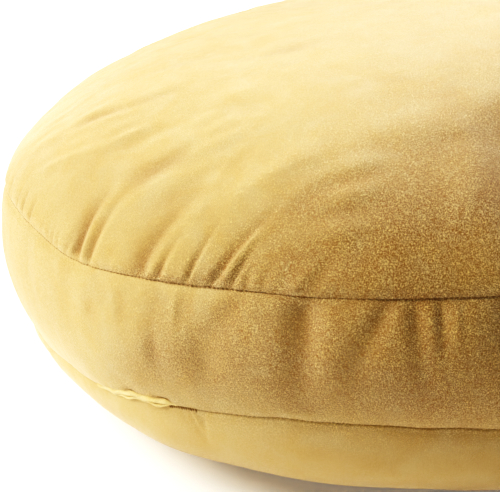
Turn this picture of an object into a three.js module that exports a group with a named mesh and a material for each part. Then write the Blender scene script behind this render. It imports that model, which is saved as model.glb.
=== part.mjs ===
// Round boxed floor pillow in mustard faux suede, lying on its underside.
// Millimetres, +Z up, the floor at z = 0, the front towards -Y.
// A top panel, a band round the side and a bottom panel are sewn together at an upper and a lower seam.
// Filled, they are one soft solid. The edge where the filling went in is a second, small piece.
import * as THREE from 'three';

// Main sizes of the filled pillow
const UPPER_SEAM_RADIUS = 295;
const TOP_HEIGHT = 214;
const BAND_BULGE = 8.2;
const CROWN_FULLNESS = 1.6;

// How full the two panels are: 2 is an ellipse, more is squarer, less is more pointed
const CROWN_REACH_POWER = 3.12;
const CROWN_RISE_POWER = 1.5;
const UNDERSIDE_POWER = 2.39;

// Seams are drawn in by their stitches
const SEAM_DRAW = 1.5;
const SEAM_DRAW_WIDTH = 3.2;

// The seam closed by hand, whose folded edge stands proud of the lower seam
const CLOSURE_START = 228.6;
const CLOSURE_END = 241.8;
const CLOSURE_STEPS = 26;
const CLOSURE_HEIGHT = 3.8;
const CLOSURE_THICKNESS = 1.8;
const CLOSURE_CLEARANCE = 0.3;

const FABRIC = new THREE.MeshStandardMaterial({ color: 0xc99f4c, roughness: 0.95, metalness: 0 });
const FOLDED_EDGE = new THREE.MeshStandardMaterial({ color: 0xd8b469, roughness: 0.95, metalness: 0 });

// How the skin runs round the pillow; azimuth 0 is +X and 270 is the front.
// upper and lower are the heights of the two seams, which wander as seams in soft cloth do;
// hem is the lower seam's radius and rest the radius at which the underside leaves the floor.
const SKIN_LINES = [
  { azimuth: 0, upper: 137.0, lower: 71.5, hem: 298, rest: 172 },
  { azimuth: 40, upper: 138.5, lower: 70.0, hem: 297, rest: 168 },
  { azimuth: 80, upper: 136.5, lower: 71.0, hem: 298, rest: 172 },
  { azimuth: 120, upper: 138.0, lower: 72.5, hem: 297, rest: 170 },
  { azimuth: 160, upper: 139.5, lower: 70.5, hem: 296, rest: 166 },
  { azimuth: 185, upper: 142.0, lower: 60.0, hem: 298, rest: 164 },
  { azimuth: 203, upper: 144.6, lower: 52.5, hem: 298, rest: 162 },
  { azimuth: 211, upper: 145.0, lower: 52.5, hem: 293.5, rest: 162.5 },
  { azimuth: 220, upper: 142.2, lower: 55.0, hem: 291.3, rest: 168 },
  { azimuth: 229, upper: 136.2, lower: 58.6, hem: 294, rest: 178 },
  { azimuth: 237, upper: 136.9, lower: 66.0, hem: 296.8, rest: 188 },
  { azimuth: 245, upper: 137.8, lower: 69.1, hem: 297, rest: 191 },
  { azimuth: 252, upper: 138.9, lower: 72.1, hem: 298, rest: 187 },
  { azimuth: 260, upper: 138.0, lower: 74.1, hem: 298, rest: 183 },
  { azimuth: 268, upper: 136.9, lower: 72.5, hem: 298, rest: 183 },
  { azimuth: 276, upper: 135.6, lower: 69.4, hem: 298, rest: 183 },
  { azimuth: 310, upper: 137.5, lower: 72.0, hem: 298, rest: 174 },
];

// Puckers of the top panel, which start at the upper seam and fade out up the crown.
// reach and width are in mm, drift is how far the top end leans, in degrees.
const CROWN_PUCKERS = [
  { azimuth: 214.8, reach: 22, drift: 0.6, width: 3.6, depth: 1.2 },
  { azimuth: 217.8, reach: 32, drift: 1.0, width: 4.0, depth: 1.5 },
  { azimuth: 221.4, reach: 26, drift: 0.8, width: 4.0, depth: 1.1 },
  { azimuth: 224.6, reach: 26, drift: 0.6, width: 4.2, depth: 1.7 },
  { azimuth: 227.0, reach: 26, drift: 1.6, width: 4.2, depth: 1.8 },
  { azimuth: 229.7, reach: 58, drift: 2.6, width: 5.4, depth: 3.6 },
  { azimuth: 231.7, reach: 48, drift: 2.4, width: 4.6, depth: 2.8 },
  { azimuth: 234.6, reach: 24, drift: 1.0, width: 4.2, depth: 1.0 },
  { azimuth: 239.6, reach: 62, drift: 3.4, width: 9.0, depth: 3.0 },
  { azimuth: 242.1, reach: 26, drift: 1.2, width: 4.6, depth: 1.6 },
  { azimuth: 245.3, reach: 56, drift: 3.4, width: 4.8, depth: 3.4 },
  { azimuth: 248.2, reach: 66, drift: 5.2, width: 7.6, depth: 4.0 },
  { azimuth: 250.6, reach: 44, drift: 3.6, width: 4.8, depth: 2.4 },
  { azimuth: 253.4, reach: 30, drift: 2.6, width: 4.6, depth: 1.2 },
  { azimuth: 256.2, reach: 30, drift: 3.4, width: 4.8, depth: 1.3 },
];

// Dents of the band, which hang from the upper seam; reach is a share of the band's height.
const BAND_DENTS = [
  { azimuth: 222.0, reach: 0.8, drift: 0.5, width: 14, depth: 1.2 },
  { azimuth: 237.5, reach: 0.9, drift: -0.4, width: 15, depth: 1.4 },
  { azimuth: 245.2, reach: 0.6, drift: -1.6, width: 4.8, depth: 1.8 },
  { azimuth: 257.8, reach: 1.0, drift: -3.6, width: 13, depth: 2.4 },
  { azimuth: 264.4, reach: 0.85, drift: -3.4, width: 9, depth: 2.4 },
  { azimuth: 267.5, reach: 0.8, drift: -1.6, width: 5.4, depth: 1.6 },
  { azimuth: 269.4, reach: 0.55, drift: -0.6, width: 5.0, depth: 1.6 },
  { azimuth: 273.5, reach: 0.8, drift: -0.8, width: 9, depth: 1.6 },
];

// Long soft folds pressed into the crown: ends in degrees and in mm up from the upper seam.
const CROWN_FOLDS = [
  { fromAzimuth: 212.0, fromReach: 50, toAzimuth: 224.5, toReach: 92, width: 8, height: 1.4 },
  { fromAzimuth: 211.0, fromReach: 68, toAzimuth: 222.0, toReach: 108, width: 7, height: -1.6 },
  { fromAzimuth: 231.0, fromReach: 44, toAzimuth: 239.0, toReach: 76, width: 9, height: -1.6 },
];

// Low swells of the filling: how many go round, where they start and how far they push out
const SWELLS = [
  { waves: 2, phase: 40, radius: 1.0, rise: 1.2 },
  { waves: 3, phase: 115, radius: 0.9, rise: 0.9 },
  { waves: 7, phase: 20, radius: 0.5, rise: 0.5 },
];

// Columns round the pillow, closer together where the puckers and dents are
const COLUMN_RUNS = [
  { from: 207, to: 259, step: 0.9 },
  { from: 259, to: 279, step: 1.4 },
  { from: 279, to: 567, step: 5.0 },
];

// Rows of the skin from the middle of the underside to the middle of the top
const FLOOR_ROWS = [0.35, 0.7, 1];
const UNDERSIDE_ROWS = [0.14, 0.28, 0.42, 0.56, 0.7, 0.83, 0.93];
const BAND_ROWS = [0.12, 0.24, 0.38, 0.5, 0.62, 0.76, 0.88];
const CROWN_ANGLES = [0.11, 0.18, 0.26, 0.34, 0.43, 0.53, 0.65, 0.79, 0.95, 1.11, 1.25, 1.37, 1.465, 1.53];
const BESIDE_SEAM = 2.5;

const RADIANS = Math.PI / 180;

function smooth(t) {
  const c = Math.min(1, Math.max(0, t));
  return c * c * (3 - 2 * c);
}

// Degrees from one azimuth to another, between -180 and 180
function turn(from, to) {
  return ((((to - from + 180) % 360) + 360) % 360) - 180;
}

// A smooth closed curve through one column of the skin table
function skinLine(column, azimuth) {
  const count = SKIN_LINES.length;
  const at = ((azimuth % 360) + 360) % 360;
  let k = count - 1;
  while (k > 0 && SKIN_LINES[k].azimuth > at) k -= 1;
  const knot = (i) => SKIN_LINES[(i + count) % count];
  const gap = (i) => (((knot(i + 1).azimuth - knot(i).azimuth) % 360) + 360) % 360;
  const slope = (i) => (knot(i + 1)[column] - knot(i - 1)[column]) / (gap(i - 1) + gap(i));
  const width = gap(k);
  const t = (at - knot(k).azimuth) / width;
  const rise = knot(k + 1)[column] - knot(k)[column];
  const start = slope(k) * width;
  const end = slope(k + 1) * width;
  return knot(k)[column] + start * t
    + (3 * rise - 2 * start - end) * t * t
    + (start + end - 2 * rise) * t * t * t;
}

function swell(azimuth, column) {
  return SWELLS.reduce((sum, s) => sum + s[column] * Math.sin((s.waves * azimuth + s.phase) * RADIANS), 0);
}

// A trough with a low ridge on either side, as a pucker in cloth has
function trough(across) {
  return (1 - 0.9 * across * across) * Math.exp(-across * across);
}

// How deep the seam pulls the skin in, at a distance along the skin
function seamDraw(distance) {
  return SEAM_DRAW * Math.exp(-((distance / SEAM_DRAW_WIDTH) ** 2));
}

function crownPuckerDepth(azimuth, reach, radius) {
  let depth = 0;
  for (const pucker of CROWN_PUCKERS) {
    const t = reach / pucker.reach;
    if (t >= 1) continue;
    const centre = pucker.azimuth + pucker.drift * t;
    const across = (turn(centre, azimuth) * RADIANS * radius) / (pucker.width * (0.75 + 0.6 * t));
    if (Math.abs(across) > 3) continue;
    depth += pucker.depth * trough(across) * (0.35 + 0.65 * smooth(t * 4)) * (1 - smooth(t));
  }
  return depth;
}

function bandDentDepth(azimuth, down) {
  let depth = 0;
  for (const dent of BAND_DENTS) {
    const t = down / dent.reach;
    if (t >= 1) continue;
    const centre = dent.azimuth + dent.drift * t;
    const across = (turn(centre, azimuth) * RADIANS * UPPER_SEAM_RADIUS) / dent.width;
    if (Math.abs(across) > 3) continue;
    depth += dent.depth * trough(across) * (0.3 + 0.7 * smooth(t * 5)) * (1 - smooth(t));
  }
  return depth;
}

function crownFoldHeight(azimuth, reach, radius) {
  let height = 0;
  for (const fold of CROWN_FOLDS) {
    const alongX = turn(fold.fromAzimuth, fold.toAzimuth) * RADIANS * radius;
    const alongY = fold.toReach - fold.fromReach;
    const length = Math.hypot(alongX, alongY);
    const x = turn(fold.fromAzimuth, azimuth) * RADIANS * radius;
    const y = reach - fold.fromReach;
    const t = (x * alongX + y * alongY) / (length * length);
    const across = (x * alongY - y * alongX) / (length * fold.width);
    if (t <= 0 || t >= 1 || Math.abs(across) > 3) continue;
    height += fold.height * Math.exp(-across * across) * Math.sin(Math.PI * t);
  }
  return height;
}

// Point of the unpuckered crown: a superellipse from the upper seam to the middle of the top
function plainCrown(azimuth, angle) {
  const seam = skinLine('upper', azimuth);
  const reach = Math.cos(angle) ** (2 / CROWN_REACH_POWER);
  const rise = Math.sin(angle) ** (2 / CROWN_RISE_POWER);
  const shoulder = 4 * rise * (1 - rise);
  return {
    radius: (UPPER_SEAM_RADIUS + swell(azimuth, 'radius')) * reach + CROWN_FULLNESS * shoulder,
    height: seam + (TOP_HEIGHT - seam) * rise + swell(azimuth, 'rise') * shoulder,
  };
}

// Distance up the crown from the seam, measured on the middle azimuth of the puckers
const CROWN_REACH = (() => {
  const reach = new Map([[0, 0]]);
  let last = { radius: UPPER_SEAM_RADIUS, height: skinLine('upper', 240) };
  let total = 0;
  for (const angle of CROWN_ANGLES) {
    const next = plainCrown(240, angle);
    total += Math.hypot(next.radius - last.radius, next.height - last.height);
    reach.set(angle, total);
    last = next;
  }
  return reach;
})();

function crownPoint(azimuth, angle) {
  const plain = plainCrown(azimuth, angle);
  const reach = CROWN_REACH.get(angle);
  const tilt = Math.atan2(reach, 40);
  const push = crownFoldHeight(azimuth, reach, plain.radius)
    - crownPuckerDepth(azimuth, reach, plain.radius)
    - seamDraw(reach);
  return {
    radius: plain.radius + push * Math.cos(tilt),
    height: plain.height + push * Math.sin(tilt),
  };
}

// Point of the band; up is 0 at the lower seam and 1 at the upper seam
function bandPoint(azimuth, up) {
  const lower = skinLine('lower', azimuth);
  const upper = skinLine('upper', azimuth);
  const height = lower + (upper - lower) * up;
  const hem = skinLine('hem', azimuth);
  const plain = hem + (UPPER_SEAM_RADIUS - hem) * up;
  const draw = seamDraw(height - lower) + seamDraw(upper - height);
  const dent = bandDentDepth(azimuth, 1 - up);
  const radius = plain + BAND_BULGE * 4 * up * (1 - up) + swell(azimuth, 'radius') - draw - dent;
  return { radius, height };
}

// Point of the underside's bulge; up is 0 where it leaves the floor and 1 at the lower seam
function undersidePoint(azimuth, up) {
  const lower = skinLine('lower', azimuth);
  const angle = (up * Math.PI) / 2;
  const out = Math.sin(angle) ** (2 / UNDERSIDE_POWER);
  const rise = 1 - Math.cos(angle) ** (2 / UNDERSIDE_POWER);
  const height = lower * rise;
  const rest = skinLine('rest', azimuth);
  const reach = skinLine('hem', azimuth) + swell(azimuth, 'radius') - rest;
  return { radius: rest + reach * out - seamDraw(lower - height), height };
}

// One row of the skin is a function from azimuth to radius and height
function besideSeam(column, side) {
  return (azimuth) => {
    const lower = skinLine('lower', azimuth);
    const upper = skinLine('upper', azimuth);
    const step = (side * BESIDE_SEAM) / (upper - lower);
    if (column === 'upper') return bandPoint(azimuth, 1 + step);
    return bandPoint(azimuth, step);
  };
}

function belowLowerSeam(azimuth) {
  const lower = skinLine('lower', azimuth);
  const radius = skinLine('hem', azimuth) + swell(azimuth, 'radius') + 0.2 - seamDraw(BESIDE_SEAM);
  return { radius, height: lower - BESIDE_SEAM };
}

function aboveUpperSeam(azimuth) {
  const upper = skinLine('upper', azimuth);
  const radius = UPPER_SEAM_RADIUS + swell(azimuth, 'radius') + 0.4 - seamDraw(BESIDE_SEAM)
    - crownPuckerDepth(azimuth, BESIDE_SEAM, UPPER_SEAM_RADIUS);
  return { radius, height: upper + BESIDE_SEAM };
}

function skinRows() {
  const middleOfUnderside = () => ({ radius: 0, height: 0 });
  const middleOfTop = () => ({ radius: 0, height: TOP_HEIGHT });
  const onFloor = (share) => (azimuth) => ({ radius: skinLine('rest', azimuth) * share, height: 0 });
  return [
    middleOfUnderside,
    ...FLOOR_ROWS.map(onFloor),
    ...UNDERSIDE_ROWS.map((up) => (azimuth) => undersidePoint(azimuth, up)),
    belowLowerSeam,
    (azimuth) => bandPoint(azimuth, 0),
    besideSeam('lower', 1),
    ...BAND_ROWS.map((up) => (azimuth) => bandPoint(azimuth, up)),
    besideSeam('upper', -1),
    (azimuth) => bandPoint(azimuth, 1),
    aboveUpperSeam,
    ...CROWN_ANGLES.map((angle) => (azimuth) => crownPoint(azimuth, angle)),
    middleOfTop,
  ];
}

function columnAzimuths() {
  const columns = [];
  for (const run of COLUMN_RUNS) {
    const count = Math.round((run.to - run.from) / run.step);
    for (let i = 0; i < count; i += 1) columns.push(run.from + ((run.to - run.from) * i) / count);
  }
  return columns;
}

// A turned form whose every row and column is then moved to its own place on the uneven skin
function buildCushion() {
  const rows = skinRows();
  const columns = columnAzimuths();
  const profile = rows.map((row) => {
    const { radius, height } = row(0);
    return new THREE.Vector2(radius, height);
  });
  const geometry = new THREE.LatheGeometry(profile, columns.length);
  const position = geometry.attributes.position;
  for (let i = 0; i <= columns.length; i += 1) {
    const azimuth = columns[i % columns.length];
    for (let j = 0; j < rows.length; j += 1) {
      const { radius, height } = rows[j](azimuth);
      const x = radius * Math.cos(azimuth * RADIANS);
      const y = radius * Math.sin(azimuth * RADIANS);
      position.setXYZ(i * rows.length + j, x, y, height);
    }
  }
  geometry.computeVertexNormals();
  const mesh = new THREE.Mesh(geometry, FABRIC);
  mesh.name = 'cushion';
  return mesh;
}

// Outermost skin within reach of the closure's back, just above and just below the seam
function closureSeat(azimuth) {
  const above = besideSeam('lower', 1)(azimuth).radius;
  const below = belowLowerSeam(azimuth).radius;
  return Math.max(above, below) + CLOSURE_CLEARANCE;
}

// The hand-sewn edge wanders up and down and swells between its stitches
function closureCentre(share) {
  const azimuth = CLOSURE_START + (CLOSURE_END - CLOSURE_START) * share;
  const wander = 0.7 * Math.sin(share * 17) + 0.4 * Math.sin(share * 31 + 1);
  const height = skinLine('lower', azimuth) + wander;
  const radius = closureSeat(azimuth) + CLOSURE_THICKNESS / 2 + 0.1;
  const x = radius * Math.cos(azimuth * RADIANS);
  const y = radius * Math.sin(azimuth * RADIANS);
  return new THREE.Vector3(x, y, height);
}

function closureSize(share) {
  const ends = smooth(share * 8) * smooth((1 - share) * 5);
  return 0.35 + (0.65 + 0.12 * Math.sin(share * 44)) * ends;
}

function closureSection() {
  const shape = new THREE.Shape();
  shape.absellipse(0, 0, CLOSURE_HEIGHT / 2, CLOSURE_THICKNESS / 2, 0, 2 * Math.PI, false, 0);
  return new THREE.Shape(shape.getPoints(5));
}

// The long folded edge, thinner towards its two ends
function buildClosure() {
  const shares = Array.from({ length: CLOSURE_STEPS + 1 }, (_, i) => i / CLOSURE_STEPS);
  const path = new THREE.CatmullRomCurve3(shares.map(closureCentre));
  const geometry = new THREE.ExtrudeGeometry(closureSection(), {
    steps: CLOSURE_STEPS,
    curveSegments: 1,
    bevelEnabled: false,
    extrudePath: path,
  });
  const position = geometry.attributes.position;
  const point = new THREE.Vector3();
  for (let i = 0; i < position.count; i += 1) {
    point.fromBufferAttribute(position, i);
    const azimuth = Math.atan2(point.y, point.x) / RADIANS;
    const share = turn(CLOSURE_START, azimuth) / (CLOSURE_END - CLOSURE_START);
    const centre = closureCentre(Math.min(1, Math.max(0, share)));
    point.sub(centre).multiplyScalar(closureSize(share)).add(centre);
    position.setXYZ(i, point.x, point.y, point.z);
  }
  geometry.computeVertexNormals();
  const mesh = new THREE.Mesh(geometry, FOLDED_EDGE);
  mesh.name = 'closure_edge';
  return mesh;
}

const pillow = new THREE.Group();
pillow.add(buildCushion(), buildClosure());

// The origin is the middle of the pillow's outline, on the floor
const outline = new THREE.Box3().setFromObject(pillow);
pillow.position.x = -(outline.min.x + outline.max.x) / 2;
pillow.position.y = -(outline.min.y + outline.max.y) / 2;

export default pillow;
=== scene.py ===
import math

import bpy
import numpy as np
from mathutils import Matrix, Vector


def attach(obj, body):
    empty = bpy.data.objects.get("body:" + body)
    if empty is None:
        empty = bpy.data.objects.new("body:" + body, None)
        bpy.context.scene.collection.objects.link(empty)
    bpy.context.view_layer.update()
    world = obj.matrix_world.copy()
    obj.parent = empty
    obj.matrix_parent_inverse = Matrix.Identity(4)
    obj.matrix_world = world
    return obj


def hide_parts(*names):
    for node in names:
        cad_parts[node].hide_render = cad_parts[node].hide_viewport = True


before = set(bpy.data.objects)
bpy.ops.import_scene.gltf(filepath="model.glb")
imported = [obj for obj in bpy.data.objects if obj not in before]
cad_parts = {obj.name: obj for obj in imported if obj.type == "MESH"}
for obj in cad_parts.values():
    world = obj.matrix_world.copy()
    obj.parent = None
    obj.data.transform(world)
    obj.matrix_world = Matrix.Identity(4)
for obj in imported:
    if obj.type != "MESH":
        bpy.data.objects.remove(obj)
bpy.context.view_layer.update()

MM = 0.001

# The skin is worked out round the middle of the upper seam, and the origin is the middle of the outline.
OUTLINE_SHIFT = (-1.0398, 0.2591, 0.0)

# Camera that took the photograph: its place, how it is turned, tipped and rolled, and its lens
CAMERA_PLACE = (-1.04, -709.48, 339.19)
CAMERA_TURN = 11.455
CAMERA_TIP = 22.046
CAMERA_ROLL = -7.893
CAMERA_LENS = 74.88

# Main sizes of the filled pillow in mm, as the solids have them
UPPER_SEAM_RADIUS = 295.0
TOP_HEIGHT = 214.0
BAND_BULGE = 8.2
CROWN_FULLNESS = 1.6
CROWN_REACH_POWER = 3.12
CROWN_RISE_POWER = 1.5
UNDERSIDE_POWER = 2.39
UPPER_DRAW = 1.2
LOWER_DRAW = 0.6
SEAM_DRAW_WIDTH = 3.2

# How the skin runs round the pillow: azimuth, height of the upper seam, height and radius of the lower
# seam, and radius at which the underside leaves the floor. Azimuth 0 is +X and 270 is the front.
SKIN_LINES = (
    (0, 137.0, 71.5, 298, 172),
    (40, 138.5, 70.0, 297, 168),
    (80, 136.5, 71.0, 298, 172),
    (120, 138.0, 72.5, 297, 170),
    (160, 139.5, 70.5, 296, 166),
    (185, 142.0, 60.0, 298, 164),
    (203, 144.6, 52.5, 298, 162),
    (211, 145.0, 52.5, 293.5, 162.5),
    (220, 142.2, 55.0, 291.3, 168),
    (229, 136.2, 58.6, 294, 178),
    (237, 136.9, 66.0, 296.8, 188),
    (245, 137.8, 69.1, 297, 191),
    (252, 138.9, 72.1, 298, 187),
    (260, 138.0, 74.1, 298, 183),
    (268, 136.9, 72.5, 298, 183),
    (276, 135.6, 69.4, 298, 183),
    (310, 137.5, 72.0, 298, 174),
)
UPPER, LOWER, HEM, REST = 1, 2, 3, 4

# Low swells of the filling: how many go round, where they start, and how far they push out and up
SWELLS = ((2, 40, 1.0, 1.2), (3, 115, 0.9, 0.9), (7, 20, 0.5, 0.5))

# Puckers of the top panel: azimuth at the seam, reach up the crown, lean in degrees, width and depth
CROWN_PUCKERS = (
    (205.5, 22, 0.3, 3.0, 0.8),
    (208.4, 24, 0.3, 2.6, 1.2),
    (213.0, 22, 0.5, 2.2, 1.4),
    (215.4, 24, 0.4, 2.2, 1.5),
    (217.9, 24, 1.3, 2.2, 1.5),
    (221.8, 20, 0.8, 2.4, 0.5),
    (223.4, 14, 0.4, 1.5, 0.9),
    (224.5, 18, 0.5, 1.5, 1.2),
    (225.6, 15, 0.6, 1.4, 0.9),
    (227.3, 19, 1.8, 2.0, 1.2),
    (228.7, 15, 1.2, 1.9, 1.0),
    (229.6, 56, 1.0, 4.2, 2.8),
    (231.6, 52, 1.8, 4.0, 2.2),
    (234.8, 22, 1.0, 3.4, 0.4),
    (239.0, 76, 5.6, 7.6, 2.1),
    (239.9, 14, 0.5, 2.2, 0.8),
    (241.6, 36, 2.6, 2.9, 2.0),
    (245.1, 42, 3.0, 2.0, 2.1),
    (246.7, 16, 0.8, 2.2, 0.5),
    (247.9, 52, 6.3, 3.5, 2.8),
    (250.1, 34, 2.9, 2.9, 2.0),
    (251.8, 24, 0.9, 2.4, 1.1),
    (253.4, 20, 1.4, 2.4, 0.7),
    (255.2, 16, 1.2, 2.2, 0.6),
    (256.2, 30, 4.6, 2.6, -0.9),
    (258.0, 26, 3.4, 3.0, 0.6),
)

# Section of a pucker: sharpness, half width and power of its left and its right side, then the height,
# place and half width of the ridge on its right; and the half widths of a dent's two sides
PUCKER_SIDES = ((1.1, 1.3, 1.5), (1.2, 0.85, 1.7))
PUCKER_RIDGE = (0.16, 1.4, 0.8)
DENT_SIDES = (1.25, 1.05)

# Distance from the seam in which a pucker reaches its full depth, and its share of depth on the seam
PUCKER_RISE = 6.0
CROWN_START = 0.2
BAND_START = 0.25
UNDERSIDE_START = 0.5
GATHER_START = 0.3

# Dents of the band, which hang from the upper seam: azimuth, reach as a share of the band's width,
# lean, width and depth
BAND_WIDTH = 68.0
BAND_DENTS = (
    (218.0, 0.8, 0.8, 9, 0.3),
    (228.4, 0.8, 0.5, 8, 0.3),
    (233.6, 0.7, -1.2, 5, 0.3),
    (237.9, 0.9, -1.0, 7, 0.25),
    (242.0, 0.9, -0.8, 4.5, 0.35),
    (244.2, 0.9, -0.5, 1.7, -0.4),
    (245.4, 0.36, -0.9, 1.9, 0.5),
    (246.4, 0.26, -1.2, 1.8, 0.5),
    (251.6, 0.8, -6.8, 7.5, 1.1),
    (257.8, 1.3, -1.6, 8.6, 3.6),
    (265.1, 0.8, -5.4, 5.0, 1.7),
    (267.2, 0.95, 0.8, 4.2, 1.6),
    (269.4, 0.6, 0.0, 2.2, 1.5),
    (270.7, 0.7, 0.0, 2.0, -0.7),
    (272.0, 0.9, 0.0, 4.5, -0.6),
    (274.6, 0.85, 0.2, 4.4, 1.5),
)

# Long soft folds of the crown: azimuth and reach of both ends, width and height
CROWN_FOLDS = (
    (214.4, 26, 223.0, 66, 4.5, 0.9),
    (215.6, 22, 224.0, 60, 5.5, -0.4),
    (221.0, 56, 229.4, 98, 5.0, 0.8),
    (222.2, 50, 230.6, 92, 6.0, -0.4),
    (210.5, 62, 220.0, 100, 5.0, -0.8),
    (218.0, 92, 223.0, 128, 5.0, -0.9),
    (231.8, 42, 238.8, 80, 9.0, -1.2),
    (228.0, 119, 243.5, 140, 6.0, 0.8),
    (229.5, 110, 245.0, 131, 8.0, -0.5),
    (222.0, 184, 234.0, 212, 10.0, -1.1),
    (245.6, 36, 257.4, 94, 8.0, 1.2),
    (249.4, 18, 261.6, 74, 16.0, -0.5),
    (249.4, 6, 252.7, 34, 3.2, 1.2),
    (256.0, 96, 280.0, 112, 13.0, 0.9),
    (258.0, 80, 281.0, 94, 14.0, -0.5),
    (273.0, 64, 270.4, 20, 4.0, 0.4),
    (273.4, 92, 272.6, 24, 10.0, 0.4),
    (279.8, 124, 279.0, 4, 17.0, -5.0),
)

# Puckers of the bottom panel beside the place closed by hand: azimuth, reach down, lean, width, depth
UNDERSIDE_PUCKERS = (
    (242.4, 20, 1.2, 1.7, 0.6),
    (243.2, 26, 1.8, 1.8, 0.9),
    (244.0, 15, 2.0, 1.5, 0.7),
    (245.2, 32, -0.9, 2.1, 0.6),
)

# Hollows of the band, the first two just above the edge closed by hand: azimuth, height above the
# lower seam, half length, half height and depth
BAND_PITS = (
    (235.3, 3.6, 4.6, 1.1, 1.1),
    (240.3, 3.4, 4.4, 1.2, 2.0),
    (232.6, 52.0, 6.0, 6.0, 0.5),
    (234.9, 59.0, 4.5, 5.0, 0.5),
    (237.4, 55.0, 4.5, 6.0, 0.5),
    (241.3, 35.0, 4.5, 9.0, 0.9),
    (247.3, 36.0, 9.0, 14.0, 1.1),
    (262.0, 34.0, 9.0, 13.0, 0.8),
)

# Small gathers that the stitches make in the cloth on both sides of both seams
GATHER_SEED = 11
GATHER_GAP = (4.5, 11.0)
GATHER_REACH = (8.0, 26.0)
GATHER_WIDTH = (1.7, 3.2)
GATHER_DEPTH = (0.15, 0.7)
GATHER_LEAN = 1.2

# A gather is worked out only within this many degrees of its place
GATHER_WINDOW = 3.2

# How strong the gathers are round the pillow: azimuth, crown, band below the upper seam,
# band above the lower seam, bottom panel
GATHER_STRENGTH = (
    (0, 0.8, 0.7, 0.5, 0.5),
    (90, 1.0, 0.8, 0.5, 0.5),
    (190, 1.0, 0.7, 0.4, 0.4),
    (215, 0.5, 0.2, 0.3, 0.2),
    (240, 0.35, 0.25, 0.4, 0.2),
    (252, 0.35, 0.3, 0.3, 0.2),
    (258, 0.25, 0.3, 0.25, 0.2),
    (266, 0.15, 0.35, 0.25, 0.2),
    (276, 0.3, 0.5, 0.3, 0.25),
    (300, 0.8, 0.7, 0.4, 0.4),
)

# Unevenness of the filling under the cloth: soft waves in all directions
LUMP_SEED = 5
LUMP_COUNT = 42
LUMP_LENGTH = (34.0, 150.0)
LUMP_HEIGHT = 0.26

# Fine patchy wrinkles of the cloth: seed, how many waves, wave length, direction, its spread, height
WRINKLES = (
    (11, 16, (13.0, 30.0), 98.0, 20.0, 0.20),
    (23, 10, (12.0, 24.0), 60.0, 40.0, 0.08),
)
WRINKLE_PATCH = (60.0, 130.0)
WRINKLE_PATCH_WAVES = 9

# Distance from the upper seam at which the wrinkles start, and in which they reach their full height
WRINKLE_FADE = (4.0, 22.0)

# The relief starts at the floor and is full at this height, and the painted shade of a crease gets no
# darker below this depth
FLOOR_FADE = 14.0
CREASE_DEEPEST = 3.0

# The stitched grooves: depth and half width, and the lip on either side: lift, distance, half width
UPPER_GROOVE = (0.45, 0.26)
LOWER_GROOVE = (0.5, 0.24)
SEAM_LIP = (0.14, 1.2, 0.6)

# Share of the grooves' depth round the pillow: azimuth, upper seam, lower seam
GROOVE_SHARE = (
    (0, 1.0, 1.0),
    (180, 0.7, 0.7),
    (205, 0.15, 0.4),
    (224, 0.25, 0.5),
    (234, 0.7, 0.9),
    (250, 1.0, 1.0),
)

# Painted shade along the stitched lines, for the shadow in their grooves: how dark, beside the depth of
# other creases, and its half width
SEAM_SHADE = (0.5, 0.32)

# How far the lower seam wavers up and down, how far beside it the cloth follows, and the waves that it
# is made of: how many go round, where they start and their share
SEAM_WAVER = 0.32
WAVER_REACH = 9.0
SEAM_WAVES = ((23, 1.0, 1.0), (41, 2.0, 0.8), (67, 0.0, 0.5))

# Columns of the skin's mesh, closer together where the photograph shows it: from, to and how many
COLUMN_RUNS = ((203.0, 280.0, 308), (280.0, 563.0, 456))

# Rows of the skin's mesh: their distances beside a seam, then their step, and how it grows from row to
# row past an even stretch; the band's middle has its own count, and the span its rows are taken to have
NEAR_SEAM = (0.3, 0.6, 0.95, 1.4, 2.0, 2.8, 3.8, 5.0)
ROW_STEP = 2.2
ROW_GROWTH = 1.09
CROWN_EVEN = 72.0
UNDERSIDE_EVEN = 50.0
BAND_ROWS = 27
BAND_MIDDLE = 60.0

# Distances from the seam past which half of the columns end
CROWN_THINNING = (110.0, 210.0)
UNDERSIDE_THINNING = (75.0,)

# Rows on the floor: share of the radius, and how many columns become one
FLOOR_ROWS = ((0.9, 2), (0.78, 2), (0.65, 2), (0.5, 2), (0.36, 4), (0.22, 4), (0.1, 4))

# Stands for the distance to a seam that is too far off to matter
FAR = 999.0


def smooth(t):
    c = np.clip(t, 0.0, 1.0)
    return c * c * (3.0 - 2.0 * c)


def turn(start, end):
    """Degrees from one azimuth to another, between -180 and 180."""
    return (end - start + 180.0) % 360.0 - 180.0


def closed_line(table, column, azimuth):
    """A smooth closed curve through one column of a table that starts with azimuths."""
    rows = np.array(table, float)
    knots = rows[:, 0]
    values = rows[:, column]
    gaps = np.diff(np.append(knots, knots[0] + 360.0))
    slopes = (np.roll(values, -1) - np.roll(values, 1)) / (np.roll(gaps, 1) + gaps)
    at = np.asarray(azimuth, float) % 360.0
    k = np.searchsorted(knots, at, side="right") - 1
    after = (k + 1) % len(knots)
    t = (at - knots[k]) / gaps[k]
    rise = values[after] - values[k]
    start = slopes[k] * gaps[k]
    end = slopes[after] * gaps[k]
    bend = 3.0 * rise - 2.0 * start - end
    return values[k] + start * t + bend * t**2 + (start + end - 2.0 * rise) * t**3


def skin_line(column, azimuth):
    return closed_line(SKIN_LINES, column, azimuth)


def swell(azimuth, column):
    total = 0.0
    for row in SWELLS:
        total = total + row[column] * np.sin(np.radians(row[0] * azimuth + row[1]))
    return total


def seam_draw(draw, distance):
    return draw * np.exp(-((distance / SEAM_DRAW_WIDTH) ** 2))


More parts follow.
